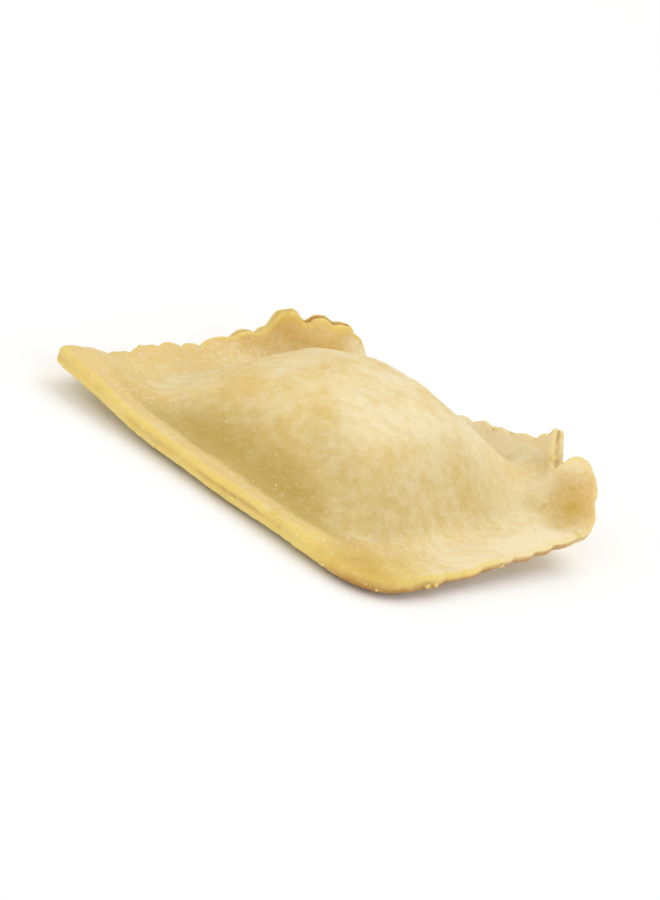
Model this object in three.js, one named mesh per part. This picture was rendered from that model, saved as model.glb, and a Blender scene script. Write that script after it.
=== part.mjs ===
// A square raviolo: two sheets of egg pasta sealed round a soft filling, lying on its flat side.
//
// Millimetres, +Z up. The origin is on the table, under the middle of the bounding box.
// The dough is first laid out flat, as rings of points round the filling. Each ring is lifted to the
// top or the underside of the dough, and two corners of the border are then curled up.
// Corners are named anticlockwise from above: a (-x, -y), b (+x, -y), c (+x, +y) and d (-x, +y).

import * as THREE from "three";
import { ImprovedNoise } from "three/addons/math/ImprovedNoise.js";

const { smoothstep, clamp, degToRad, radToDeg } = THREE.MathUtils;

// Driving dimensions.
const SIDE = 55; // across the cut border
const SHEET = 1.15; // thickness of one rolled sheet
const FILLING = { x: -0.5, y: 0.3, halfX: 20.6, halfY: 20.3, height: 11.2 };

// Outline: where each corner would be if it were sharp, and how far from there its rounding starts.
const HALF = SIDE / 2;
const CORNERS = {
  a: { x: -HALF - 0.1, y: -HALF + 0.3, round: 1.9 },
  b: { x: HALF + 0.4, y: -HALF - 0.3, round: 9.5 },
  c: { x: HALF + 1.3, y: HALF + 1.5, round: 2.8 },
  d: { x: -HALF - 1.1, y: HALF + 0.5, round: 7.5 },
};

// Fluted cut of the pastry wheel on three sides; the side from a to b was cut straight.
const FLUTES = {
  pitch: 4.9,
  depth: { ab: 0.1, bc: 0.42, cd: 0.52, da: 0.6 },
  sideSharpness: 12, // how suddenly one side's depth gives way to the next one's at a corner
  fade: 2.4, // how far into the border a flute dies away
  lift: 0.22, // how far each flute also bends up and down
  drift: { radians: 2.25, length: 14 }, // how the cut strays from an even pitch
  uneven: { share: 0.65, length: 6.5 }, // how much some lobes stand out more than others
  lobe: { swing: 2.2, middle: 0.6 }, // broad round lobes between narrow notches
  fromB: { start: 6.5, full: 13 }, // near corner b the wheel slid and left the cut smooth
  fromC: { start: 3, full: 10 }, // and beside the torn nick the flutes run out
};

// Torn nick at corner c, just on its side towards b.
const NICK = { fromCorner: 1.2, depth: 6.6, halfWidth: 3.6, fade: 7.0 };

// Knob of dough that the wheel left standing out, on the side from d to a. It is round, with a
// `flat` middle.
const KNOB = { fromCorner: 9.1, height: 2.4, flat: 1.2, halfWidth: 3.4, fade: 3.0 };

// Border: how far it stands off the table, all round and at each corner. It starts to lift at the
// share `from` of the half side.
const BORDER = { lift: 0.8, from: 0.58, squareness: 6 };
const CORNER_LIFT = {
  a: { height: 1.9, reach: 11 },
  b: { height: -0.4, reach: 13 },
  c: { height: 2.3, reach: 20 },
  d: { height: 2.9, reach: 15 },
};
// On the side from b to c the wheel pressed the border thin, and left its edge off the table.
const THIN_EDGE = { thin: 1.0, lift: 1.1, from: 0.78 * HALF, fromB: { start: 9, full: 17 } };
const RIPPLE = { height: 0.8, length: 13, straightShare: 0.3 }; // the straight cut ripples less
const BULGE_UNDER = 0.45; // how much lower the middle of the underside is than its edge

// Pillow over the filling. A reach of 1 is the edge of the filling.
const PILLOW = {
  squareness: 3.3,
  fall: 2.95, // power with which the height falls off towards the edge
  fuller: { by: 0.75, towards: degToRad(55) },
  crown: 0.3, // how much rounder the top is than its fall alone would make it
  fillet: 0.6,
};
// Towards corner c the filling runs out into a low shoulder, which grows from the reach `from`.
const SHOULDER = { x: 16.5, y: 19.5, height: 4.3, width: 6.5, from: 0.4, full: 0.95 };
const LUMPS = { height: 0.35, length: 11, fromHeight: 0.5, fullHeight: 7.8 };
const PLEAT = { height: 0.4, width: 2.1, from: 0.72, fullFrom: 1.02, fullTo: 1.3, to: 1.62 };
const PRESSED_GROOVE = { depth: 0.3, width: 1.9, reach: 1.16 };
const SHEET_UNEVEN = { height: 0.15, length: 6 };

// Rim: the cut edge, with the seam of the sheets along its middle.
const RIM = { round: 0.85, seam: 0.14, power: 0.8 }; // a power under 1 makes the rounding squarer

// Curled stretches of the border, between the bearings `from` and `to` seen from the middle of the
// filling, in degrees. Each bends up between `start` and `end`, counted from a crease round the filling.
const CREASE_REACH = 1.07;
const CURLS = [
  { from: 29, fullFrom: 44.5, fullTo: 70, to: 100, start: -2, end: 8.2, degrees: 90 },
  { from: 119, fullFrom: 132, fullTo: 162, to: 170, start: 1.5, end: 7.8, degrees: 92 },
];

// Mesh rows, and the inset up to which all spokes, or every second one, are kept.
const SPOKES = 320;
const RIM_STEPS = 6;
const TOP_ROWS = 17;
const UNDER_ROWS = 9;
const ROW_SPREAD = 1.35;
const ALL_SPOKES_TO = 2.4;
const SECOND_SPOKES_TO = 11.5;

// Each unevenness reads its own layer of the noise.
const LAYERS = { drift: 4.7, lobes: 9.1, ripple: 5.2, lumps: 1.6, sheet: 8.3 };
const noise = new ImprovedNoise();

// Unevenness between about -1 and 1, with bumps about `length` wide.
function uneven(x, y, length, layer) {
  return 2 * noise.noise(x / length, y / length, layer);
}

// A smooth version of max(0, x), with a fillet about as wide as `soft`.
function softAbove(x, soft) {
  return soft * Math.log1p(Math.exp(x / soft));
}

// Distance from the middle in a rounded-square metric: 1 on a square with these half sizes.
function squareReach(x, y, halfX, halfY, squareness) {
  const sum = Math.abs(x / halfX) ** squareness + Math.abs(y / halfY) ** squareness;
  return sum ** (1 / squareness);
}

// How far out a point is over the filling: 1 at the filling's edge.
function fillingReach(x, y) {
  return squareReach(x, y, FILLING.halfX, FILLING.halfY, PILLOW.squareness);
}

// The straight outline with rounded corners, before any flutes.
function outlineShape() {
  const { a, b, c, d } = CORNERS;
  const ring = [a, b, c, d];
  const towards = (from, to) => {
    const run = new THREE.Vector2(to.x - from.x, to.y - from.y).setLength(from.round);
    return new THREE.Vector2(from.x, from.y).add(run);
  };
  const shape = new THREE.Shape();
  const start = towards(a, b);
  shape.moveTo(start.x, start.y);
  for (let i = 1; i <= ring.length; i++) {
    const corner = ring[i % ring.length];
    const before = towards(corner, ring[i - 1]);
    const after = towards(corner, ring[(i + 1) % ring.length]);
    shape.lineTo(before.x, before.y);
    shape.quadraticCurveTo(corner.x, corner.y, after.x, after.y);
  }
  return shape;
}

// How deep the flutes are at a point of the outline, blended from one side to the next.
function fluteDepthAt(point) {
  const outness = { ab: -point.y, bc: point.x, cd: point.y, da: -point.x };
  let depth = 0;
  let total = 0;
  for (const [side, out] of Object.entries(outness)) {
    const weight = Math.max(0, out) ** FLUTES.sideSharpness;
    depth += weight * FLUTES.depth[side];
    total += weight;
  }
  const { fromB, fromC } = FLUTES;
  const awayB = Math.hypot(point.x - CORNERS.b.x, point.y - CORNERS.b.y);
  const awayC = Math.hypot(point.x - CORNERS.c.x, point.y - CORNERS.c.y);
  const share = smoothstep(awayB, fromB.start, fromB.full) * smoothstep(awayC, fromC.start, fromC.full);
  return (depth / total) * share;
}

// One spoke for each point of the outline: its place, its outward normal, and what moves its end.
function makeSpokes() {
  const shape = outlineShape();
  const length = shape.getLength();
  const points = shape.getSpacedPoints(SPOKES).slice(0, SPOKES);
  const nickCentre = new THREE.Vector2(CORNERS.c.x, CORNERS.c.y - NICK.fromCorner);
  const knobCentre = new THREE.Vector2(CORNERS.d.x, CORNERS.d.y - KNOB.fromCorner);
  return points.map((point, i) => {
    const before = points[(i + SPOKES - 1) % SPOKES];
    const after = points[(i + 1) % SPOKES];
    const normal = new THREE.Vector2(after.y - before.y, before.x - after.x).normalize();
    const run = (i / SPOKES) * length;
    const stray = FLUTES.drift.radians * uneven(run, 0, FLUTES.drift.length, LAYERS.drift);
    const lobe = Math.sqrt(Math.abs(Math.sin((Math.PI * run) / FLUTES.pitch + stray / 2)));
    const onKnob = 1 - smoothstep(point.distanceTo(knobCentre), KNOB.flat, KNOB.halfWidth);
    const crimp = fluteDepthAt(point) * (1 - onKnob) * FLUTES.lobe.swing * (lobe - FLUTES.lobe.middle);
    const share = 1 + FLUTES.uneven.share * uneven(run, 0, FLUTES.uneven.length, LAYERS.lobes);
    const nick = NICK.depth * (1 - smoothstep(point.distanceTo(nickCentre), 0, NICK.halfWidth));
    return { point, normal, flute: crimp * share, crimp, nick, knob: KNOB.height * onKnob };
  });
}

// Where a spoke crosses the ring that lies `inset` inside the outline, seen from above.
function planPoint(spoke, inset) {
  const shrunk = spoke.point.clone().multiplyScalar(1 - inset / HALF);
  const push = spoke.flute * Math.exp(-inset / FLUTES.fade);
  const nick = spoke.nick * Math.exp(-((inset / NICK.fade) ** 2));
  const knob = spoke.knob * Math.exp(-inset / KNOB.fade);
  const outwards = spoke.point.clone().normalize();
  return shrunk.addScaledVector(spoke.normal, push + knob).addScaledVector(outwards, -nick);
}

// 1 at the thin edge, and 0 all over the rest of the dough.
function thinEdgeShare(x, y) {
  const fromB = smoothstep(y + HALF, THIN_EDGE.fromB.start, THIN_EDGE.fromB.full);
  return fromB * smoothstep(x, THIN_EDGE.from, HALF);
}

// Height of the underside over the table.
function underside(x, y) {
  const share = smoothstep(squareReach(x, y, HALF, HALF, BORDER.squareness), BORDER.from, 1);
  let height = -BULGE_UNDER + (BORDER.lift + BULGE_UNDER) * share;
  for (const [name, corner] of Object.entries(CORNERS)) {
    const lift = CORNER_LIFT[name];
    const away = Math.hypot(x - corner.x, y - corner.y) / lift.reach;
    height += lift.height * Math.exp(-(away ** 2)) * share;
  }
  const fromStraight = smoothstep(y, -HALF, -HALF / 3);
  const ripple = RIPPLE.height * (RIPPLE.straightShare + (1 - RIPPLE.straightShare) * fromStraight);
  height += ripple * uneven(x, y, RIPPLE.length, LAYERS.ripple) * share;
  return Math.max(0, height) + THIN_EDGE.lift * thinEdgeShare(x, y);
}

// Height that the filling adds to the top sheet.
function pillow(x, y) {
  const reach = fillingReach(x, y);
  const fall = PILLOW.fall + PILLOW.fuller.by * Math.cos(Math.atan2(y, x) - PILLOW.fuller.towards);
  const crown = (1 + PILLOW.crown * (1 - reach ** 2)) / (1 + PILLOW.crown);
  const dome = softAbove(FILLING.height * (1 - reach ** fall) * crown, PILLOW.fillet);
  const lumps = LUMPS.height * uneven(x, y, LUMPS.length, LAYERS.lumps);
  return dome + lumps * smoothstep(dome, LUMPS.fromHeight, LUMPS.fullHeight);
}

// Height that the shoulder adds to the top sheet, so that the pillow falls gently to corner c.
function shoulder(x, y) {
  const away = Math.hypot(x - SHOULDER.x, y - SHOULDER.y) / SHOULDER.width;
  const share = smoothstep(fillingReach(x, y), SHOULDER.from, SHOULDER.full);
  return SHOULDER.height * Math.exp(-(away ** 2)) * share;
}

// The pressed groove round the filling, and the pleats that run from it to the corners.
function sealRelief(x, y) {
  const reach = fillingReach(x, y);
  const outside = ((reach - PRESSED_GROOVE.reach) * FILLING.halfX) / PRESSED_GROOVE.width;
  const offDiagonal = (Math.abs(x) - Math.abs(y)) / Math.SQRT2 / PLEAT.width;
  const starts = smoothstep(reach, PLEAT.from, PLEAT.fullFrom);
  const ends = smoothstep(reach, PLEAT.fullTo, PLEAT.to);
  const pleat = PLEAT.height * Math.exp(-(offDiagonal ** 2)) * starts * (1 - ends);
  return pleat - PRESSED_GROOVE.depth * Math.exp(-(outside ** 2));
}

// Thickness of the dough and filling at a point.
function thickness(x, y) {
  const pressed = 2 * SHEET - THIN_EDGE.thin * thinEdgeShare(x, y);
  const sheets = pressed + SHEET_UNEVEN.height * uneven(x, y, SHEET_UNEVEN.length, LAYERS.sheet);
  return sheets + pillow(x - FILLING.x, y - FILLING.y) + sealRelief(x - FILLING.x, y - FILLING.y);
}

// Where a stretch that bends evenly from `start` to `end` leads by `run`: out, up and its slope.
function followBend(start, end, angle, run) {
  const radius = (end - start) / angle;
  const slope = angle * clamp((run - start) / (end - start), 0, 1);
  const beyond = Math.max(0, run - end);
  return {
    out: start + radius * Math.sin(slope) + beyond * Math.cos(slope),
    up: radius * (1 - Math.cos(slope)) + beyond * Math.sin(slope),
    slope,
  };
}

// Bends up what lies past the crease round the filling, if it is in a curled stretch.
function curlBorder(p, curl) {
  const outwards = new THREE.Vector2(p.x - FILLING.x, p.y - FILLING.y);
  const bearing = radToDeg(outwards.angle());
  const starts = smoothstep(bearing, curl.from, curl.fullFrom);
  const share = starts * (1 - smoothstep(bearing, curl.fullTo, curl.to));
  const run = outwards.length() * (1 - CREASE_REACH / fillingReach(outwards.x, outwards.y));
  if (share === 0 || run <= curl.start) return;
  const bend = followBend(curl.start, curl.end, degToRad(share * curl.degrees), run);
  const offMiddle = p.z - (BORDER.lift + SHEET);
  const move = bend.out - run - offMiddle * Math.sin(bend.slope);
  outwards.setLength(move);
  p.x += outwards.x;
  p.y += outwards.y;
  p.z += bend.up + offMiddle * (Math.cos(bend.slope) - 1);
}

// A point of the dough: `rise` is 0 on the underside and 1 on the top.
function doughPoint(spoke, inset, rise) {
  const plan = planPoint(spoke, inset);
  const low = underside(plan.x, plan.y);
  const crimp = FLUTES.lift * spoke.crimp * Math.exp(-inset / FLUTES.fade);
  const z = low + rise * thickness(plan.x, plan.y) + Math.max(crimp, -low);
  const p = new THREE.Vector3(plan.x, plan.y, z);
  for (const curl of CURLS) curlBorder(p, curl);
  p.z += rise * shoulder(plan.x - FILLING.x, plan.y - FILLING.y);
  return p;
}

// The insets of the rows of one face, from the rim inwards.
function faceInsets(rows) {
  const steps = Array.from({ length: rows - 1 }, (_, k) => (k + 1) / rows);
  return steps.map((step) => RIM.round + (HALF - RIM.round) * step ** ROW_SPREAD);
}

// One row of the rim: `k` counts from the top to the underside.
function rimRow(k) {
  const angle = (Math.PI * k) / RIM_STEPS;
  const up = Math.cos(angle);
  const seam = 2 * k === RIM_STEPS ? RIM.seam : 0;
  return {
    inset: RIM.round * (1 - Math.sin(angle) ** RIM.power) + seam,
    rise: (1 + Math.sign(up) * Math.abs(up) ** RIM.power) / 2,
  };
}

// The rows of the mesh, from the middle of the top, round the rim, to the middle of the underside.
function meshRows() {
  const top = faceInsets(TOP_ROWS).map((inset) => ({ inset, rise: 1 }));
  const under = faceInsets(UNDER_ROWS).map((inset) => ({ inset, rise: 0 }));
  const rim = Array.from({ length: RIM_STEPS + 1 }, (_, k) => rimRow(k));
  return [...top.reverse(), ...rim, ...under];
}

// Every spoke near the rim, every second one further in, and every fourth one in the middle.
function strideAt(inset) {
  if (inset <= ALL_SPOKES_TO) return 1;
  return inset <= SECOND_SPOKES_TO ? 2 : 4;
}

// Fills the strip between two rows of point numbers. One may have half as many points as the other.
function strip(triangles, upper, lower) {
  const finer = Math.max(upper.length, lower.length);
  const along = (row, i) => row[Math.floor((i * row.length) / finer) % row.length];
  for (let i = 0; i < finer; i++) {
    const [u0, u1] = [along(upper, i), along(upper, i + 1)];
    const [l0, l1] = [along(lower, i), along(lower, i + 1)];
    if (l0 !== l1) triangles.push(u0, l0, l1);
    if (u0 !== u1) triangles.push(u0, l1, u1);
  }
}

// The closed skin of the dough, moved so that it stands on the origin.
function doughGeometry() {
  const spokes = makeSpokes();
  const plain = { flute: 0, crimp: 0, nick: 0, knob: 0 };
  const middle = { point: new THREE.Vector2(), normal: new THREE.Vector2(), ...plain };
  const positions = [];
  const triangles = [];
  const add = (p) => positions.push(p.x, p.y, p.z) / 3 - 1;
  const rows = meshRows().map(({ inset, rise }) => {
    const kept = spokes.filter((_, i) => i % strideAt(inset) === 0);
    return kept.map((spoke) => add(doughPoint(spoke, inset, rise)));
  });
  const first = rows[0];
  const last = rows[rows.length - 1];
  const top = add(doughPoint(middle, HALF, 1));
  const under = add(doughPoint(middle, HALF, 0));
  first.forEach((point, i) => triangles.push(top, point, first[(i + 1) % first.length]));
  for (let row = 1; row < rows.length; row++) strip(triangles, rows[row - 1], rows[row]);
  last.forEach((point, i) => triangles.push(under, last[(i + 1) % last.length], point));

  const geometry = new THREE.BufferGeometry();
  geometry.setAttribute("position", new THREE.Float32BufferAttribute(positions, 3));
  geometry.setIndex(triangles);
  geometry.computeBoundingBox();
  const box = geometry.boundingBox;
  const centre = box.getCenter(new THREE.Vector3());
  geometry.translate(-centre.x, -centre.y, -box.min.z);
  geometry.computeVertexNormals();
  return geometry;
}

function raviolo() {
  const dough = new THREE.MeshStandardMaterial({ color: 0xe9d59b, roughness: 0.72, metalness: 0 });
  const mesh = new THREE.Mesh(doughGeometry(), dough);
  mesh.name = "raviolo";
  return mesh;
}

const part = new THREE.Group();
part.add(raviolo());

export default part;
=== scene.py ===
"""A fresh square raviolo, dusted with flour and semolina, on a plain pale table."""

import math

import bpy
import numpy as np
from bpy.props import FloatProperty, FloatVectorProperty, IntProperty, PointerProperty
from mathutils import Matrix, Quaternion, Vector, noise


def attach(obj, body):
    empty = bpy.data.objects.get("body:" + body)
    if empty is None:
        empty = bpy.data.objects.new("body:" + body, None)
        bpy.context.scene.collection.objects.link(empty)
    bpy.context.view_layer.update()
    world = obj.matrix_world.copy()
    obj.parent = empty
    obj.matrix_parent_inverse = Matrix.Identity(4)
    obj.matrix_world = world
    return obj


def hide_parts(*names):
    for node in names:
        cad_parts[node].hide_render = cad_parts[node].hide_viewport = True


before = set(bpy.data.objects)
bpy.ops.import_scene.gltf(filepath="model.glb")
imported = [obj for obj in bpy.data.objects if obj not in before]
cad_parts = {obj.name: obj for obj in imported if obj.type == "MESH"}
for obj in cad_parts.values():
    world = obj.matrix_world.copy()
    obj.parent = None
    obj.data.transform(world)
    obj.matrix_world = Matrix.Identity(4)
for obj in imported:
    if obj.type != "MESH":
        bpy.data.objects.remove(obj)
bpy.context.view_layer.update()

bl_info = {
    "name": "Fresh raviolo",
    "version": (1, 0, 0),
    "blender": (4, 5, 0),
    "location": "View3D > Sidebar > Raviolo",
    "description": "Builds a flour-dusted square raviolo around its solid",
    "category": "Object",
}

NODE = "raviolo"
BODY = "root"
MM = 0.001

# Edge loops of the solid, counted from the crown of the pillow outwards, round the rim and under.
CROWN_LOOP = 4  # inside it the fan of long triangles gives way to an even grid
CROWN_SPAN = 20  # squares along each side of that grid: a quarter of the loop's 80 points
FOOT_LOOP = 11.5  # the pillow ends and the border begins
FOOT_REACH = 4  # how many loops to each side of it the puckers reach
RIM_LOOPS = (17, 23)  # the first and the last loop on the cut
RIM_FADE = 2  # how many loops the rim takes to fade in and out
SEAM_LOOP = 20  # where the two sheets meet

# Rings of the skin: the loops at which each begins and is full, and then, unless it runs on to the end,
# those at which it begins to fade and ends.
FACE_RING = (2, 8)  # all but the crown
FLANK_RING = (3.5, 8, 9.5, 12)  # the side of the pillow
SLOPE_RING = (5.8, 10.8, 12, 14)  # the lower part of that side
BORDER_RING = (10.3, 11.8)  # the flat border
SHELTER_RING = (11.5, 14)  # the border without its pressed groove
RICH_RING = (12.5, 16)  # the outer part of the border
UNDER_EDGE_RING = (19.5, 21, 22.8, 24.6)  # the lower half of the rim, where shade under the thin lifted edge is painted

# Sectors of the skin: the way outwards to each, and how near to it, as a cosine, it begins and is full.
RAISED_CORNER = ((0.6, 0.8), 0.5, 0.85)  # its raised border keeps its flour, and its shaded inner wall is painted lighter with more flour and less bare dough
PRESSED_CORNER = ((0.6, 0.8), 0.3, 0.6)  # pressed together, so that less yolk shows at the cut
RUBBED_BORDER = ((-0.6, -0.8), -0.35, 0.1)  # handled, so that flour has rubbed off
CURLED_CORNER = ((-0.8, 0.6), 0.8, 0.95)  # stands up, and is spared most of the rubbing, which paints its shaded wall lighter
SHADED_SLOPE = ((0.0, -1.0), 0.66, 0.92)  # the near slope, where the painted shade is darkest
CLOSED_SEAM = ((0.0, -1.0), 0.55, 0.8)  # the straight cut closed the seam
SHADED_FLANK = ((0.9, -0.43), 0.2, 0.75)  # the right flank, which has painted shade too
DARKEST_FLANK = ((0.64, -0.77), 0.88, 1.0)
SMOOTH_CORNER = ((0.64, -0.77), 0.93, 1.0)  # the wheel left it smooth and rich
SHADED_EDGE = ((0.97, -0.24), 0.7, 0.85)  # the thin edge, lifted off the table, with painted shade on the lower half of its rim
DRY_SIDE = (0.9, 0.43)  # the way to the side of the pillow that has dried the most

# Where the dough has dried to amber, and where amber shade is painted on the curled flaps of the two far
# corners: the middle and the reach in millimetres, and how much.
DRIED_AND_SHADE_SPOTS = (
    (-25.5, 26.5, 7.0, 9.0, 0.75),
    (-22.8, 15.0, 7.0, 4.8, 0.25),
    (24.9, 17.0, 6.2, 6.6, 0.95),
    (25.0, -26.5, 1.6, 10.0, 1.0),
)
STRAY_SIZE = 3.5 * MM  # width of the bays in the outline of a dried spot
STRAY = 0.5  # how far they reach in, as a share of the way to the middle

# Hollows: a place lies in one where the skin around it is higher.
HOLLOW_ROUNDS = 60  # how often the skin is evened out to find what is around a place
HOLLOW_DEPTH = 0.12 * MM  # a hollow of this depth is a full one
HOLLOW_FADE = 4  # how often the hollows themselves are evened out

# How much flour stays, as shares of a full dusting.
UPWARD = (0.2, 1.0)  # how far up a face has to look to hold some flour, and all that it can
UPWARD_FLOUR = 0.25
HOLLOW_FLOUR = 0.25
KEPT_FLOUR = 0.75  # on the border and in the shelter of the raised corner
BORDER_FLOUR = 0.8  # the border's own share of that
RUBBED_FLOUR = 0.45  # what rubbing takes off the border's share
RIM_LOSS = 0.8  # what the rim loses
BARE_LOSS = 0.85  # what dough loses under the painted slope shade, and where it is dried amber with painted flap shade
SHELTER_LIGHT_GAIN = 0.9  # extra flour in the shelter on top of the rest, as painted light on its shaded inner wall
SHELTER_DRIED = (0, 0.3)  # how strong the dried amber and painted flap shade are where that begins to stop, and has stopped
OPEN_CLUMPS = 0.05  # what bare dough has of the clumps of flour
OPEN_GRAINS = 0.2  # what open faces have of the grains of semolina

# How strong each colour of the dough is, as shares of the pure colour.
SLOPE_SHADE = (0.1, 0.9)  # painted shade all round the pillow, and what the near slope adds
FLANK_SHADE = (0.44, 0.14)  # painted shade on the right flank, and what its darkest part adds
CURL_LIGHTENING = 0.6  # how much of the rubbing the curled corner is spared: painted light on its shaded wall
BORDER_MOIST = 0.75  # where the border is rubbed bare
SIDE_DRY = 0.42  # how much drier the dry side of the pillow is than its middle
SIDE_DRY_LIMIT = 0.4  # the nearness to that side past which it gets no drier
UNDER_EDGE_SHADE = 0.9
SEAM_CLOSED = 0.7
CUT_RIM = (0.35, 1.0)  # where on the rim's rise the cut begins and is full
CUT_YOLK = (0.9, 0.55)  # round the rim, and what pressing takes off it
CORNER_YOLK = 0.85
CRUMB_YOLK = 0.8

# The seam between the sheets gapes in some stretches and is nearly shut in others.
GAPE_SIZE = 6 * MM
GAPE_MEAN = 0.45
GAPE_LEAST = 0.1
GAPE_GRAIN = 4 * MM  # width of the uneven places in its depth
GAPE_LEVEL = 0.2  # the value of that noise where it is level with the dough, so that most of it sinks

# Where the relief is calmer than on top of the pillow.
SWELL_RIM_LOSS = 0.6
DIMPLE_RIM_LOSS = 0.5
PEEL_BELOW = 0.3  # what the underside has of the fine bumps
GROUP_STEPS = 32  # weights are set in so many steps

# The small lumps of flour, semolina and dough.
DUST_SHAPES = 6
CRUMB_SHAPES = 5
LUMP_LENGTH = (0.8, 1.35)  # least and most, as shares of the lump's size
LUMP_WIDTH = (0.7, 1.1)
SIZE_TAIL = 2  # sizes stray from the common one by so many standard deviations at most

# The stage, in metres and watts.
TABLE_WIDTH = 6.0
TABLE_DROP = 0.02 * MM  # keeps the table clear of the fine bumps of the underside
LOOK_AT = Vector((-1.6, -0.1, 1.9)) * MM  # the middle of what the camera sees of the raviolo
LIT_POINT = Vector((0, 0, 5)) * MM
ROOM_LIGHT = 0.59
LIGHTS = {  # place, width, power and colour
    "soft_key": ((-0.09, 0.34, 0.66), 0.8, 2.36, "#FFFEFB"),
    "soft_fill": ((-0.12, -0.7, 0.42), 0.9, 2.1, "#FFFFFF"),
    "soft_side": ((0.66, -0.18, 0.28), 0.6, 1.25, "#FFFEFB"),
}


# ---------------------------------------------------------------- colours and nodes


def linear(code):
    """Turns an sRGB hex colour into linear red, green and blue, and an alpha of 1."""
    shares = [int(code[i:i + 2], 16) / 255 for i in (1, 3, 5)]
    return tuple(s / 12.92 if s <= 0.04045 else ((s + 0.055) / 1.055) ** 2.4 for s in shares) + (1.0,)


def add_node(material, kind, inputs=None, **settings):
    """Adds a shader node, with its settings, and its inputs as values or as links from other nodes."""
    tree = material.node_tree
    node = tree.nodes.new(kind)
    for name, value in settings.items():
        setattr(node, name, value)
    for socket, value in (inputs or {}).items():
        if isinstance(value, bpy.types.NodeSocket):
            tree.links.new(value, node.inputs[socket])
        else:
            node.inputs[socket].default_value = value
    return node


def add_noise(material, place, size, detail=0.0, roughness=0.5):
    """Adds noise whose marks are about this wide, and gives its value."""
    inputs = {"Vector": place, "Scale": 1 / size, "Detail": detail, "Roughness": roughness}
    return add_node(material, "ShaderNodeTexNoise", inputs).outputs["Fac"]


def add_scaled(material, value, factor, added):
    """Adds a node that multiplies a value and adds another, and gives the result."""
    return add_node(material, "ShaderNodeMath", {0: value, 1: factor, 2: added},
                    operation="MULTIPLY_ADD").outputs[0]


def add_range(material, value, low, high, new_low=0.0, new_high=1.0):
    """Adds a node that stretches one range of a value to another, and gives the result."""
    inputs = {"Value": value, "From Min": low, "From Max": high, "To Min": new_low, "To Max": new_high}
    return add_node(material, "ShaderNodeMapRange", inputs).outputs[0]


def add_blend(material, share, under, over):
    """Adds a node that lays this share of one colour over another, and gives the result."""
    return add_node(material, "ShaderNodeMix", {0: share, 6: under, 7: over}, data_type="RGBA").outputs[2]


def new_material(name):
    """An empty node material."""
    material = bpy.data.materials.new(name)
    material.use_nodes = True
    material.node_tree.nodes.clear()
    return material


def add_surface(material, inputs):
    """Ends a material with a principled shader that has these inputs."""
    shader = add_node(material, "ShaderNodeBsdfPrincipled", inputs)
    add_node(material, "ShaderNodeOutputMaterial", {"Surface": shader.outputs[0]})


# ---------------------------------------------------------------- meshes


def select_only(piece):
    """Makes one object the only selected and active one."""
    bpy.ops.object.select_all(action="DESELECT")
    piece.select_set(True)
    bpy.context.view_layer.objects.active = piece


def apply_modifier(piece, kind, **settings):
    """Adds a modifier and applies it at once."""
    select_only(piece)
    modifier = piece.modifiers.new(kind.lower(), kind)
    for name, value in settings.items():
        setattr(modifier, name, value)
    bpy.ops.object.modifier_apply(modifier=modifier.name)


def edge_ends(mesh):
    """The two vertices of every edge, as two arrays."""
    ends = np.empty(len(mesh.edges) * 2, np.int32)
    mesh.edges.foreach_get("vertices", ends)
    return ends[::2], ends[1::2]


def vertex_values(mesh, name):
    """A vector of every vertex, such as co or normal, as rows of three."""
    values = np.empty(len(mesh.vertices) * 3, np.float32)
    mesh.vertices.foreach_get(name, values)
    return values.reshape(-1, 3).astype(float)


def spread(values, ends, rounds):
    """Evens out a value by taking each vertex's mean with its neighbours, so many times over."""
    count = len(values)
    neighbours = np.bincount(np.concatenate(ends), minlength=count)
    for _ in range(rounds):
        total = np.bincount(ends[0], values[ends[1]], count) + np.bincount(ends[1], values[ends[0]], count)
        values = (values + total / neighbours) / 2
    return values


def loops_from_crown(mesh):
    """The number of each vertex's edge loop, counted outwards from the crown of the pillow."""
    first, second = edge_ends(mesh)
    meeting = np.bincount(np.concatenate((first, second)), minlength=len(mesh.vertices))
    height = vertex_values(mesh, "co")[:, 2]
    meeting[height < height.max() / 2] = 0
    loops = np.full(len(mesh.vertices), -1)
    loops[meeting.argmax()] = 0
    for loop in range(len(mesh.vertices)):
        outwards = np.concatenate((second[loops[first] == loop], first[loops[second] == loop]))
        outwards = outwards[loops[outwards] < 0]
        if not len(outwards):
            return loops
        loops[outwards] = loop + 1


def write_attribute(mesh, name, values):
    """Keeps a number for each vertex, for the material or the modifiers to read."""
    attribute = mesh.attributes.get(name) or mesh.attributes.new(name, "FLOAT", "POINT")
    attribute.data.foreach_set("value", np.asarray(values, np.float32))


def read_attribute(mesh, name):
    """The number that each vertex has under this name."""
    values = np.empty(len(mesh.vertices), np.float32)
    mesh.attributes[name].data.foreach_get("value", values)
    return values.astype(float)


def group_from(piece, name, weights):
    """Makes a vertex group of these weights."""
    group = piece.vertex_groups.new(name=name)
    stepped = np.rint(np.clip(weights, 0, 1) * GROUP_STEPS).astype(int)
    for step in range(1, GROUP_STEPS + 1):
        group.add(np.flatnonzero(stepped == step).tolist(), step / GROUP_STEPS, "REPLACE")
    return group.name


def displace(piece, name, size, height, weights, depth=1, middle=0.5):
    """Raises and sinks the surface with noise of this size, by up to about this height."""
    texture = bpy.data.textures.new(name, "CLOUDS")
    texture.noise_scale = size
    texture.noise_depth = depth
    texture.noise_basis = "ORIGINAL_PERLIN"
    group = group_from(piece, name, weights)
    apply_modifier(piece, "DISPLACE", texture=texture, texture_coords="LOCAL", mid_level=middle,
                   strength=2 * height, vertex_group=group)
    piece.vertex_groups.remove(piece.vertex_groups[group])


def ramp_between(values, low, high):
    """0 below low, 1 above high, and an even smooth rise between them."""
    share = np.clip((values - low) / (high - low), 0, 1)
    return share * share * (3 - 2 * share)


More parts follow.
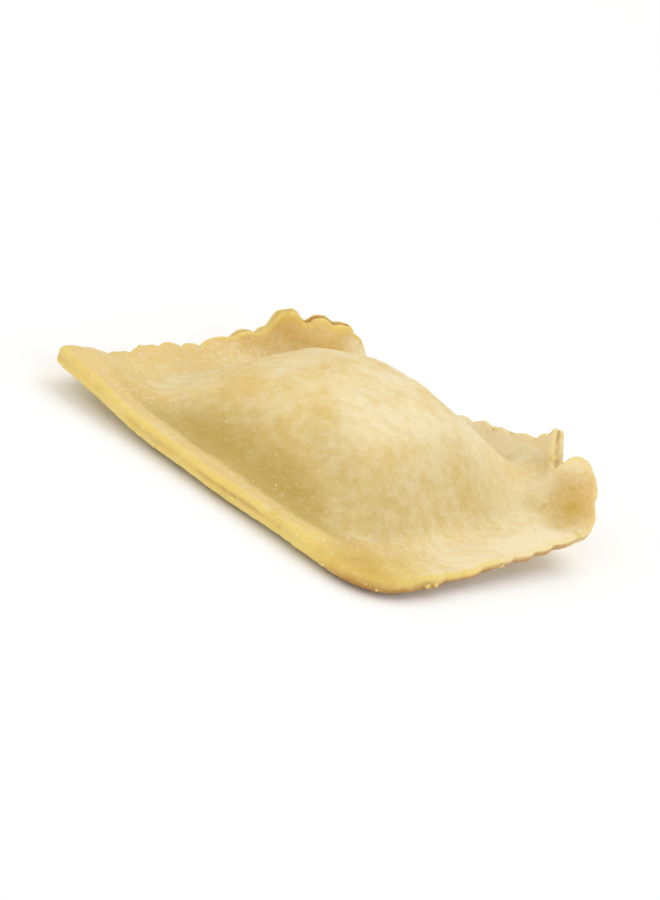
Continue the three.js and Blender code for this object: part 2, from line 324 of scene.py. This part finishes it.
def ring(loops, begin, full, fade=None, end=None):
    """How far each place lies in a ring of the skin, between these edge loops, from 0 to 1."""
    share = ramp_between(loops, begin, full)
    return share if end is None else share * ramp_between(-loops, -end, -fade)


def sector(outwards, way, begin, full):
    """How far each place lies in a sector of the skin, by its nearness to the sector's way, from 0 to 1."""
    return ramp_between(outwards @ np.array(way), begin, full)


def near_spots(places, spots):
    """The full share at the middle of any of these spots, and 0 past the uneven reach of all."""
    nearness = np.zeros(len(places))
    strays = np.array([noise.noise(place) for place in places / STRAY_SIZE])
    for x, y, z, reach, share in spots:
        away = np.linalg.norm(places / MM - (x, y, z), axis=1) * (1 + STRAY * strays)
        nearness = np.maximum(nearness, share * (1 - ramp_between(away, 0, reach)))
    return nearness


def hollows_of(mesh, places, normals):
    """How deep each place lies against the skin around it: 0 on a bulge and 1 in a full hollow."""
    ends = edge_ends(mesh)
    around = np.stack([spread(places[:, axis], ends, HOLLOW_ROUNDS) for axis in range(3)], axis=1)
    depth = ((around - places) * normals).sum(axis=1)
    return spread(ramp_between(depth, 0.0, HOLLOW_DEPTH), ends, HOLLOW_FADE)


# ---------------------------------------------------------------- dough


class DoughSettings(bpy.types.PropertyGroup):
    """Relief and colours of the dough"""

    swell_size: FloatProperty(name="Swell size", description="Width of the soft swells",
                              default=6.5 * MM, unit="LENGTH")
    swell_height: FloatProperty(name="Swell height", description="Height of the soft swells",
                                default=0.26 * MM, unit="LENGTH")
    dimple_size: FloatProperty(name="Dimple size", description="Width of the dimples that fingers leave",
                               default=2.4 * MM, unit="LENGTH")
    dimple_height: FloatProperty(name="Dimple height", description="Depth of those dimples",
                                 default=0.08 * MM, unit="LENGTH")
    peel_size: FloatProperty(name="Peel size", description="Width of the finest bumps that are modelled",
                             default=0.8 * MM, unit="LENGTH")
    peel_height: FloatProperty(name="Peel height", description="Height of the finest bumps",
                               default=0.022 * MM, unit="LENGTH")
    pucker_size: FloatProperty(name="Pucker size", description="Width of the puckers round the pillow",
                               default=2.6 * MM, unit="LENGTH")
    pucker_height: FloatProperty(name="Pucker height", description="Height of those puckers",
                                 default=0.16 * MM, unit="LENGTH")
    ragged_size: FloatProperty(name="Ragged size", description="Width of the tears along the cut",
                               default=0.75 * MM, unit="LENGTH")
    ragged_height: FloatProperty(name="Ragged height", description="Depth of the tears along the cut",
                                 default=0.11 * MM, unit="LENGTH")
    seam_depth: FloatProperty(name="Seam depth", description="Depth of the seam between the sheets",
                              default=0.45 * MM, unit="LENGTH")
    glow: FloatProperty(name="Glow", description="How far light travels inside the dough",
                        default=1.4 * MM, unit="LENGTH")
    dusty: FloatVectorProperty(name="Dusty dough", description="Dry face of the dough, rubbed with flour",
                               size=4, subtype="COLOR", default=linear("#EEDFB4"))
    moist: FloatVectorProperty(name="Moist dough", description="Dough where it is bare and a little moist",
                               size=4, subtype="COLOR", default=linear("#E2C47C"))
    # Painted shade on the lower slopes of the pillow, as a khaki colour of the dough.
    painted_slope_shade: FloatVectorProperty(name="Painted slope shade", description="Painted shade on the lower slopes of the pillow",
                                   size=4, subtype="COLOR", default=linear("#C1A558"))
    cut: FloatVectorProperty(name="Cut dough", description="Dough at the cut, rich in egg yolk",
                             size=4, subtype="COLOR", default=linear("#E6CC74"))
    # Amber of dried tips, also used as painted shade on the curled flaps of the two far corners.
    dried_and_flap_shade: FloatVectorProperty(name="Dried dough and flap shade", description="Curled tips dried to amber, with painted shade on the flaps",
                               size=4, subtype="COLOR", default=linear("#CDAA50"))
    # The dark colour of the seam, also used as painted shade under the thin lifted edge.
    crack_and_shade: FloatVectorProperty(name="Seam", description="Depth of the seam between the two sheets, and painted shade under the thin edge",
                               size=4, subtype="COLOR", default=linear("#A87434"))
    flour: FloatVectorProperty(name="Flour", description="Flour that clings to the dough",
                               size=4, subtype="COLOR", default=linear("#F4E7CA"))


def fresh_dough(settings, name, glow):
    """Fresh egg pasta dough, rolled thin and dusted: matt and velvety, with light that glows inside it."""
    material = new_material(name)
    place = add_node(material, "ShaderNodeTexCoord").outputs["Object"]
    bare, painted_slope_shade, cut, dried_and_flap_shade, seam, dusted = (
        add_node(material, "ShaderNodeAttribute", attribute_name=attribute).outputs["Fac"]
        for attribute in ("bare", "painted_slope_shade", "cut", "dried_and_flap_shade", "seam", "dusted"))

    # Dry and moist patches, about 7 mm across, with a finer mottle that makes up 0.4 of them.
    patches = add_noise(material, place, 7 * MM, detail=3.0)
    mottle = add_noise(material, place, 1.6 * MM, detail=3.0, roughness=0.6)
    uneven = add_node(material, "ShaderNodeMix", {0: 0.4, 2: patches, 3: mottle}, data_type="FLOAT")
    moist = add_scaled(material, bare, factor=0.26, added=uneven.outputs[0])
    moist = add_range(material, moist, low=0.38, high=0.66)
    colour = add_blend(material, moist, settings.dusty, settings.moist)

    # The mottle breaks up the darker colours: the painted shade on the pillow's slopes, the cut, the dried
    # amber with painted shade on the curled flaps, and the open seam with painted shade under the thin
    # edge.
    broken = add_scaled(material, mottle, factor=0.8, added=0.6)
    for share, shade in ((painted_slope_shade, settings.painted_slope_shade), (cut, settings.cut), (dried_and_flap_shade, settings.dried_and_flap_shade),
                         (seam, settings.crack_and_shade)):
        share = add_node(material, "ShaderNodeMath", {0: share, 1: broken},
                         operation="MULTIPLY", use_clamp=True).outputs[0]
        colour = add_blend(material, share, colour, shade)

    # Flour: specks of 0.25 and 0.7 mm that close up where it is sheltered, and thin out on open faces; the
    # extra flour in the shelter is painted light on its shaded inner wall.
    fine = add_noise(material, place, 0.25 * MM, detail=1.0)
    specks = add_noise(material, place, 0.7 * MM, detail=2.0, roughness=0.6)
    drifts = add_node(material, "ShaderNodeMath", {0: dusted, 1: patches}, operation="MULTIPLY").outputs[0]
    powder = add_scaled(material, fine, factor=0.8, added=specks)
    powder = add_scaled(material, drifts, factor=0.5, added=powder)
    powder = add_range(material, powder, low=1.04, high=1.42, new_high=0.55)
    colour = add_blend(material, powder, colour, settings.flour)

    # Semolina in the dough shows as fine grain, and flour lies on it as a soft nap.
    grain = add_noise(material, place, 0.4 * MM, detail=3.0, roughness=0.6)
    grain_bump = add_node(material, "ShaderNodeBump",
                          {"Height": grain, "Strength": 0.4, "Distance": 0.06 * MM}).outputs[0]
    dust_bump = add_node(material, "ShaderNodeBump",
                         {"Height": powder, "Strength": 0.5, "Distance": 0.05 * MM,
                          "Normal": grain_bump}).outputs[0]
    roughness = add_range(material, powder, low=0.0, high=1.0, new_low=0.56, new_high=0.9)
    add_surface(material, {"Base Color": colour, "Roughness": roughness, "Normal": dust_bump, "IOR": 1.45,
                           "Specular IOR Level": 0.3, "Subsurface Weight": 0.4,
                           "Subsurface Radius": (1.0, 0.6, 0.25), "Subsurface Scale": glow})
    return material


class RAVIOLO_OT_dough(bpy.types.Operator):
    """Refines the sealed sheets of dough: swells, dimples, ragged cut and the seam between the sheets"""

    bl_idname = "raviolo.dough"
    bl_label = "Dough"

    def execute(self, context):
        settings = context.scene.raviolo_dough
        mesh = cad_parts[NODE].data.copy()
        dough = bpy.data.objects.new("raviolo_dough", mesh)
        context.scene.collection.objects.link(dough)
        self.merge(dough)
        self.even_crown(dough)
        self.mark_parts(mesh)
        apply_modifier(dough, "SUBSURF", levels=2, render_levels=2)
        self.shape_relief(dough, settings)
        self.find_finish(mesh)
        select_only(dough)
        bpy.ops.object.shade_smooth()
        mesh.materials.clear()
        mesh.materials.append(fresh_dough(settings, "fresh_egg_dough", settings.glow))
        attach(dough, BODY)
        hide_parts(NODE)
        return {"FINISHED"}

    def merge(self, dough):
        """Welds the loose triangles of the copy, and numbers its edge loops."""
        select_only(dough)
        bpy.ops.object.mode_set(mode="EDIT")
        bpy.ops.mesh.select_all(action="SELECT")
        bpy.ops.mesh.remove_doubles(threshold=0.001 * MM)
        bpy.ops.mesh.customdata_custom_splitnormals_clear()
        bpy.ops.object.mode_set(mode="OBJECT")
        loops = loops_from_crown(dough.data)
        if loops.min() < 0:
            raise RuntimeError("The solid isn't one closed skin, so its loops can't be counted")
        write_attribute(dough.data, "loop", loops)

    def even_crown(self, dough):
        """Puts an even grid in place of the fan at the crown, on the same surface, and pairs triangles."""
        mesh = dough.data
        loops = read_attribute(mesh, "loop")
        bpy.ops.object.mode_set(mode="EDIT")
        bpy.ops.mesh.select_mode(type="VERT")
        bpy.ops.mesh.select_all(action="DESELECT")
        bpy.ops.object.mode_set(mode="OBJECT")
        mesh.vertices.foreach_set("select", loops < CROWN_LOOP)
        bpy.ops.object.mode_set(mode="EDIT")
        bpy.ops.mesh.delete(type="VERT")
        bpy.ops.mesh.select_non_manifold(extend=False)
        bpy.ops.mesh.fill_grid(span=CROWN_SPAN)
        bpy.ops.object.mode_set(mode="OBJECT")
        loops = read_attribute(mesh, "loop")
        group = group_from(dough, "crown", loops < CROWN_LOOP)
        apply_modifier(dough, "SHRINKWRAP", target=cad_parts[NODE], wrap_method="PROJECT",
                       use_project_z=True, use_negative_direction=True, use_positive_direction=True,
                       vertex_group=group)
        dough.vertex_groups.clear()
        bpy.ops.object.mode_set(mode="EDIT")
        bpy.ops.mesh.select_all(action="SELECT")
        bpy.ops.mesh.tris_convert_to_quads(face_threshold=math.pi, shape_threshold=math.pi)
        bpy.ops.object.mode_set(mode="OBJECT")

    def mark_parts(self, mesh):
        """Marks the rim, the foot of the pillow, the gaping seam and the upper face, by the edge loops."""
        loops = read_attribute(mesh, "loop")
        first, last = RIM_LOOPS
        rim = np.minimum(loops - first + 1, last + 1 - loops) / RIM_FADE
        foot = 1 - np.abs(loops - FOOT_LOOP) / FOOT_REACH
        above = (last - loops) / (last - first)
        for name, share in (("rim", rim), ("foot", foot), ("above", above)):
            write_attribute(mesh, name, np.clip(share, 0, 1))
        gape = np.array([noise.noise(vertex.co / GAPE_SIZE) for vertex in mesh.vertices])
        write_attribute(mesh, "seam", (loops == SEAM_LOOP) * np.clip(GAPE_MEAN + gape, GAPE_LEAST, 1))

    def shape_relief(self, dough, settings):
        """Gives the dough its swells, dimples, puckers, fine bumps, ragged cut and open seam."""
        above, rim, seam, foot = (
            read_attribute(dough.data, name) for name in ("above", "rim", "seam", "foot"))
        displace(dough, "swells", settings.swell_size, settings.swell_height,
                 above * (1 - SWELL_RIM_LOSS * rim))
        displace(dough, "dimples", settings.dimple_size, settings.dimple_height,
                 above * (1 - DIMPLE_RIM_LOSS * rim))
        displace(dough, "puckers", settings.pucker_size, settings.pucker_height, above * foot)
        displace(dough, "peel", settings.peel_size, settings.peel_height,
                 PEEL_BELOW + (1 - PEEL_BELOW) * above, depth=2)
        displace(dough, "ragged", settings.ragged_size, settings.ragged_height, rim, depth=2)
        displace(dough, "seam", GAPE_GRAIN, -settings.seam_depth, seam ** 2, middle=GAPE_LEVEL)

    def find_finish(self, mesh):
        """Finds where flour stays, with painted light in the shelter, where shade is painted on the
        pillow's slopes, on the curled flaps and under the thin edge, and where the dough is rich or dried.
        """
        places = vertex_values(mesh, "co")
        normals = vertex_values(mesh, "normal")
        outwards = places[:, :2] / np.linalg.norm(places[:, :2], axis=1)[:, None]
        loops, above, rim = (read_attribute(mesh, name) for name in ("loop", "above", "rim"))
        border = ring(loops, *BORDER_RING) * (1 - rim) * above
        # The shelter of the raised corner keeps flour, and its shaded inner wall is painted lighter there.
        sheltered_and_lit = sector(outwards, *RAISED_CORNER) * ring(loops, *SHELTER_RING) * above
        # Sparing the curled corner the rubbing paints its shaded wall lighter, with more flour and less
        # bare dough.
        rubbed = sector(outwards, *RUBBED_BORDER) * (1 - CURL_LIGHTENING * sector(outwards, *CURLED_CORNER))

        # Painted shade: a khaki colour on the lower slope of the pillow, darkest on the near side, and on
        # its right flank.
        slope = ring(loops, *SLOPE_RING)
        slope = slope * (SLOPE_SHADE[0] + SLOPE_SHADE[1] * sector(outwards, *SHADED_SLOPE))
        flank = ring(loops, *FLANK_RING) * sector(outwards, *SHADED_FLANK)
        flank = (FLANK_SHADE[0] + FLANK_SHADE[1] * sector(outwards, *DARKEST_FLANK)) * flank
        painted_slope_shade = np.maximum(slope, flank)
        # Dried amber spots; those on the curled flaps of the two far corners are painted shade as well.
        dried_and_flap_shade = near_spots(places, DRIED_AND_SHADE_SPOTS) * above
        drier = np.minimum(outwards @ np.array(DRY_SIDE), SIDE_DRY_LIMIT)
        drier = drier * ring(loops, *FACE_RING) * (above - border)
        write_attribute(mesh, "painted_slope_shade", painted_slope_shade)
        write_attribute(mesh, "dried_and_flap_shade", dried_and_flap_shade)
        # Less bare dough in the shelter and at the curled corner: painted light on their shaded walls.
        write_attribute(mesh, "bare", BORDER_MOIST * border * rubbed - sheltered_and_lit - SIDE_DRY * drier)

        hollow = hollows_of(mesh, places, normals)
        upward = ramp_between(normals[:, 2], *UPWARD)
        kept = np.maximum(border * (BORDER_FLOUR - RUBBED_FLOUR * rubbed), sheltered_and_lit)
        dusted = np.clip(UPWARD_FLOUR * upward + KEPT_FLOUR * kept + HOLLOW_FLOUR * hollow, 0, 1)
        dusted = dusted * above * (1 - RIM_LOSS * rim) * (1 - BARE_LOSS * np.maximum(painted_slope_shade, dried_and_flap_shade))
        # Extra flour in the shelter: painted light on its shaded inner wall.
        painted_light_drift = SHELTER_LIGHT_GAIN * sheltered_and_lit * (1 - ramp_between(dried_and_flap_shade, *SHELTER_DRIED))
        write_attribute(mesh, "hollow", hollow)
        write_attribute(mesh, "dusted", dusted * (1 + painted_light_drift))

        # Painted shade under the thin lifted edge, in the dark colour of the seam, on the lower half of its
        # rim.
        under_edge_shade = UNDER_EDGE_SHADE * ring(loops, *UNDER_EDGE_RING) * sector(outwards, *SHADED_EDGE)
        closed = 1 - SEAM_CLOSED * sector(outwards, *CLOSED_SEAM)
        write_attribute(mesh, "seam", np.maximum(read_attribute(mesh, "seam") * closed, under_edge_shade))
        yolk = CUT_YOLK[0] - CUT_YOLK[1] * sector(outwards, *PRESSED_CORNER)
        rich = sector(outwards, *SMOOTH_CORNER) * ring(loops, *RICH_RING) * above * CORNER_YOLK
        write_attribute(mesh, "cut", np.maximum(ramp_between(rim, *CUT_RIM) * yolk, rich))


# ---------------------------------------------------------------- flour, semolina and crumbs


class DustSettings(bpy.types.PropertyGroup):
    """What clings to the dough"""

    flour_count: IntProperty(name="Flour clumps", description="How many clumps of flour cling to the dough",
                             default=260, min=0)
    flour_size: FloatProperty(name="Flour clump size", description="Width of a common clump",
                              default=0.2 * MM, unit="LENGTH")
    semolina_count: IntProperty(name="Semolina grains", description="How many grains of semolina cling",
                                default=60, min=0)
    semolina_size: FloatProperty(name="Semolina size", description="Width of a common grain",
                                 default=0.28 * MM, unit="LENGTH")
    crumb_count: IntProperty(name="Dough crumbs", description="How many crumbs the wheel left on the cut",
                             default=110, min=0)
    crumb_size: FloatProperty(name="Crumb size", description="Width of a common crumb",
                              default=0.5 * MM, unit="LENGTH")


def lump_shape(subdivisions, unevenness, draw):
    """An uneven small lump of unit size: its vertices and its triangles."""
    bpy.ops.object.select_all(action="DESELECT")
    bpy.ops.mesh.primitive_ico_sphere_add(subdivisions=subdivisions, radius=1.0)
    ball = bpy.context.object
    mesh = ball.data
    vertices = vertex_values(mesh, "co")
    faces = np.array([tuple(face.vertices) for face in mesh.polygons])
    bpy.data.objects.remove(ball)
    bpy.data.meshes.remove(mesh)
    return vertices * (1 + unevenness * draw.uniform(-1, 1, (len(vertices), 1))), faces


def places_on(mesh, weights, count, draw):
    """Picks points all over a mesh, more of them where it is large and where the weights are high."""
    mesh.calc_loop_triangles()
    corners = np.empty(len(mesh.loop_triangles) * 3, np.int32)
    mesh.loop_triangles.foreach_get("vertices", corners)
    corners = corners.reshape(-1, 3)
    points = vertex_values(mesh, "co")[corners]
    normals = vertex_values(mesh, "normal")[corners]
    area = np.linalg.norm(np.cross(points[:, 1] - points[:, 0], points[:, 2] - points[:, 0]), axis=1)
    chance = area * weights[corners].mean(axis=1)
    picked = draw.choice(len(corners), count, p=chance / chance.sum())
    shares = draw.dirichlet((1, 1, 1), count)[:, :, None]
    normal = (normals[picked] * shares).sum(axis=1)
    return (points[picked] * shares).sum(axis=1), normal / np.linalg.norm(normal, axis=1)[:, None]


def strew(name, shapes, points, normals, sizes, flatness, sunk, draw):
    """Makes one mesh of many lumps, each turned its own way, and sunk into the surface by this share."""
    vertices, faces = [], []
    first = 0
    for point, normal, size in zip(points, normals, sizes):
        shape, shape_faces = shapes[draw.integers(len(shapes))]
        side = np.cross(normal, draw.normal(size=3))
        side /= np.linalg.norm(side)
        stretch = size / 2 * np.array([draw.uniform(*LUMP_LENGTH), draw.uniform(*LUMP_WIDTH), flatness])
        turned = (shape * stretch) @ np.array([side, np.cross(normal, side), normal])
        vertices.append(turned + point + normal * size * flatness * (0.5 - sunk))
        faces.append(shape_faces + first)
        first += len(shape)
    mesh = bpy.data.meshes.new(name)
    mesh.from_pydata(np.concatenate(vertices).tolist(), [], np.concatenate(faces).tolist())
    piece = bpy.data.objects.new(name, mesh)
    bpy.context.scene.collection.objects.link(piece)
    select_only(piece)
    bpy.ops.object.shade_smooth()
    return piece


def common_sizes(size, variety, count, draw):
    """Sizes round the common one: many a little smaller, a few clearly larger."""
    return size * np.exp(variety * np.clip(draw.normal(size=count), -SIZE_TAIL, SIZE_TAIL))


def wheat_flour():
    """Clumps of soft wheat flour: pure matt off-white that light seeps through."""
    material = new_material("wheat_flour")
    add_surface(material, {"Base Color": linear("#F8EBCE"), "Roughness": 0.95, "Specular IOR Level": 0.2,
                           "Subsurface Weight": 0.6, "Subsurface Radius": (1.0, 0.9, 0.7),
                           "Subsurface Scale": 0.15 * MM})
    return material


def durum_semolina():
    """Grains of durum semolina: hard, angular and slightly glassy, from cream to amber."""
    material = new_material("durum_semolina")
    place = add_node(material, "ShaderNodeTexCoord").outputs["Object"]
    tone = add_noise(material, place, 0.9 * MM)
    colour = add_blend(material, tone, linear("#FAEDC8"), linear("#F0D898"))
    add_surface(material, {"Base Color": colour, "Roughness": 0.42, "IOR": 1.5,
                           "Subsurface Weight": 0.3, "Subsurface Radius": (1.0, 0.9, 0.6),
                           "Subsurface Scale": 0.08 * MM})
    return material


class RAVIOLO_OT_flour(bpy.types.Operator):
    """Strews clumps of flour, thickest on the border and in the shelter of the raised corner"""

    bl_idname = "raviolo.flour"
    bl_label = "Flour"

    def execute(self, context):
        settings = context.scene.raviolo_dust
        draw = np.random.default_rng(seed=11)
        mesh = bpy.data.objects["raviolo_dough"].data
        dusted = np.minimum(read_attribute(mesh, "dusted"), 1)
        weights = (OPEN_CLUMPS + dusted ** 2) * read_attribute(mesh, "above")
        points, normals = places_on(mesh, weights, settings.flour_count, draw)
        shapes = [lump_shape(subdivisions=1, unevenness=0.3, draw=draw) for _ in range(DUST_SHAPES)]
        sizes = common_sizes(settings.flour_size, variety=0.4, count=settings.flour_count, draw=draw)
        flour = strew("flour_clumps", shapes, points, normals, sizes, flatness=0.35, sunk=0.5, draw=draw)
        flour.data.materials.append(wheat_flour())
        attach(flour, BODY)
        return {"FINISHED"}


class RAVIOLO_OT_semolina(bpy.types.Operator):
    """Strews grains of semolina that cling to the top of the dough, most of them in its hollows"""

    bl_idname = "raviolo.semolina"
    bl_label = "Semolina"

    def execute(self, context):
        settings = context.scene.raviolo_dust
        draw = np.random.default_rng(seed=23)
        mesh = bpy.data.objects["raviolo_dough"].data
        weights = (OPEN_GRAINS + read_attribute(mesh, "hollow")) * read_attribute(mesh, "above")
        points, normals = places_on(mesh, weights, settings.semolina_count, draw)
        shapes = [lump_shape(subdivisions=1, unevenness=0.22, draw=draw) for _ in range(DUST_SHAPES)]
        sizes = common_sizes(settings.semolina_size, variety=0.3, count=settings.semolina_count, draw=draw)
        semolina = strew("semolina_grains", shapes, points, normals, sizes, flatness=0.6, sunk=0.45,
                         draw=draw)
        semolina.data.materials.append(durum_semolina())
        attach(semolina, BODY)
        return {"FINISHED"}


class RAVIOLO_OT_crumbs(bpy.types.Operator):
    """Sets torn crumbs of dough along the cut"""

    bl_idname = "raviolo.crumbs"
    bl_label = "Crumbs"

    def execute(self, context):
        settings = context.scene.raviolo_dust
        draw = np.random.default_rng(seed=37)
        dough = bpy.data.objects["raviolo_dough"]
        weights = read_attribute(dough.data, "rim") ** 2
        points, normals = places_on(dough.data, weights, settings.crumb_count, draw)
        shapes = [lump_shape(subdivisions=2, unevenness=0.2, draw=draw) for _ in range(CRUMB_SHAPES)]
        sizes = common_sizes(settings.crumb_size, variety=0.35, count=settings.crumb_count, draw=draw)
        crumbs = strew("dough_crumbs", shapes, points, normals, sizes, flatness=0.5, sunk=0.6, draw=draw)
        write_attribute(crumbs.data, "cut", np.full(len(crumbs.data.vertices), CRUMB_YOLK))
        torn = fresh_dough(context.scene.raviolo_dough, "torn_egg_dough", glow=0.2 * MM)
        crumbs.data.materials.append(torn)
        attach(crumbs, BODY)
        return {"FINISHED"}


# ---------------------------------------------------------------- stage


class StageSettings(bpy.types.PropertyGroup):
    """Camera, lights and table"""

    azimuth: FloatProperty(name="Azimuth", description="Where the camera stands, from the straight cut",
                           default=math.radians(30), subtype="ANGLE")
    elevation: FloatProperty(name="Elevation", description="How steeply the camera looks down",
                             default=math.radians(20.4), subtype="ANGLE")
    roll: FloatProperty(name="Roll", description="How far the camera is turned about its own line of sight",
                        default=math.radians(22.2), subtype="ANGLE")
    distance: FloatProperty(name="Distance", description="From the camera to the raviolo",
                            default=0.4, unit="LENGTH")
    lens: FloatProperty(name="Lens", description="Focal length in millimetres", default=125)
    table: FloatVectorProperty(name="Table", description="Colour of the table",
                               size=4, subtype="COLOR", default=linear("#FEFEFE"))


class RAVIOLO_OT_stage(bpy.types.Operator):
    """Sets up the pale table, the soft studio light and the camera"""

    bl_idname = "raviolo.stage"
    bl_label = "Stage"

    def execute(self, context):
        settings = context.scene.raviolo_stage
        self.lay_table(settings)
        self.hang_lights(context.scene)
        self.stand_camera(context.scene, settings)
        return {"FINISHED"}

    def lay_table(self, settings):
        """A wide matt white table top, laminate with no sheen."""
        bpy.ops.object.select_all(action="DESELECT")
        bpy.ops.mesh.primitive_plane_add(size=TABLE_WIDTH, location=(0, 0, -TABLE_DROP))
        table = bpy.context.object
        table.name = "table"
        material = new_material("white_laminate")
        add_surface(material, {"Base Color": settings.table, "Roughness": 0.7, "Specular IOR Level": 0.2})
        table.data.materials.append(material)

    def hang_lights(self, scene):
        """Large soft lights over the far side, over the near side and low on the right, in a white room."""
        for name, (place, width, power, tint) in LIGHTS.items():
            bpy.ops.object.light_add(type="AREA", location=place)
            light = bpy.context.object
            light.name = name
            light.data.size = width
            light.data.energy = power
            light.data.color = linear(tint)[:3]
            light.rotation_euler = (LIT_POINT - light.location).to_track_quat("-Z", "Y").to_euler()
        world = bpy.data.worlds.new("white_room")
        world.use_nodes = True
        background = world.node_tree.nodes["Background"]
        background.inputs["Color"].default_value = linear("#FFFFFF")
        background.inputs["Strength"].default_value = ROOM_LIGHT
        scene.world = world
        scene.view_settings.view_transform = "Standard"

    def stand_camera(self, scene, settings):
        """Looks at the middle of the raviolo from over the corner where the straight cut ends."""
        flat = math.cos(settings.elevation)
        back = Vector((math.sin(settings.azimuth) * flat, -math.cos(settings.azimuth) * flat,
                       math.sin(settings.elevation)))
        bpy.ops.object.camera_add(location=LOOK_AT + back * settings.distance)
        camera = bpy.context.object
        camera.rotation_mode = "QUATERNION"
        camera.rotation_quaternion = back.to_track_quat("Z", "Y") @ Quaternion((0, 0, 1), settings.roll)
        camera.data.lens = settings.lens
        camera.data.clip_start = 10 * MM
        scene.camera = camera


# ---------------------------------------------------------------- panel and registration


class RAVIOLO_PT_panel(bpy.types.Panel):
    """Lists the steps in the order in which they are run"""

    bl_label = "Raviolo"
    bl_space_type = "VIEW_3D"
    bl_region_type = "UI"
    bl_category = "Raviolo"

    def draw(self, context):
        for operator in OPERATORS:
            self.layout.operator(operator.bl_idname)
        scene = context.scene
        for settings in (scene.raviolo_dough, scene.raviolo_dust, scene.raviolo_stage):
            box = self.layout.box()
            for name in settings.__annotations__:
                box.prop(settings, name)


OPERATORS = (RAVIOLO_OT_dough, RAVIOLO_OT_flour, RAVIOLO_OT_semolina, RAVIOLO_OT_crumbs, RAVIOLO_OT_stage)
CLASSES = (DoughSettings, DustSettings, StageSettings, *OPERATORS, RAVIOLO_PT_panel)


def register():
    """Makes the steps, the settings and the panel known to Blender."""
    for made in CLASSES:
        bpy.utils.register_class(made)
    bpy.types.Scene.raviolo_dough = PointerProperty(type=DoughSettings)
    bpy.types.Scene.raviolo_dust = PointerProperty(type=DustSettings)
    bpy.types.Scene.raviolo_stage = PointerProperty(type=StageSettings)


def unregister():
    """Takes them all out again."""
    del bpy.types.Scene.raviolo_stage
    del bpy.types.Scene.raviolo_dust
    del bpy.types.Scene.raviolo_dough
    for made in reversed(CLASSES):
        bpy.utils.unregister_class(made)


def main():
    """Runs the steps in their order."""
    register()
    bpy.ops.raviolo.dough()
    bpy.ops.raviolo.flour()
    bpy.ops.raviolo.semolina()
    bpy.ops.raviolo.crumbs()
    bpy.ops.raviolo.stage()


if __name__ == "__main__":
    main()
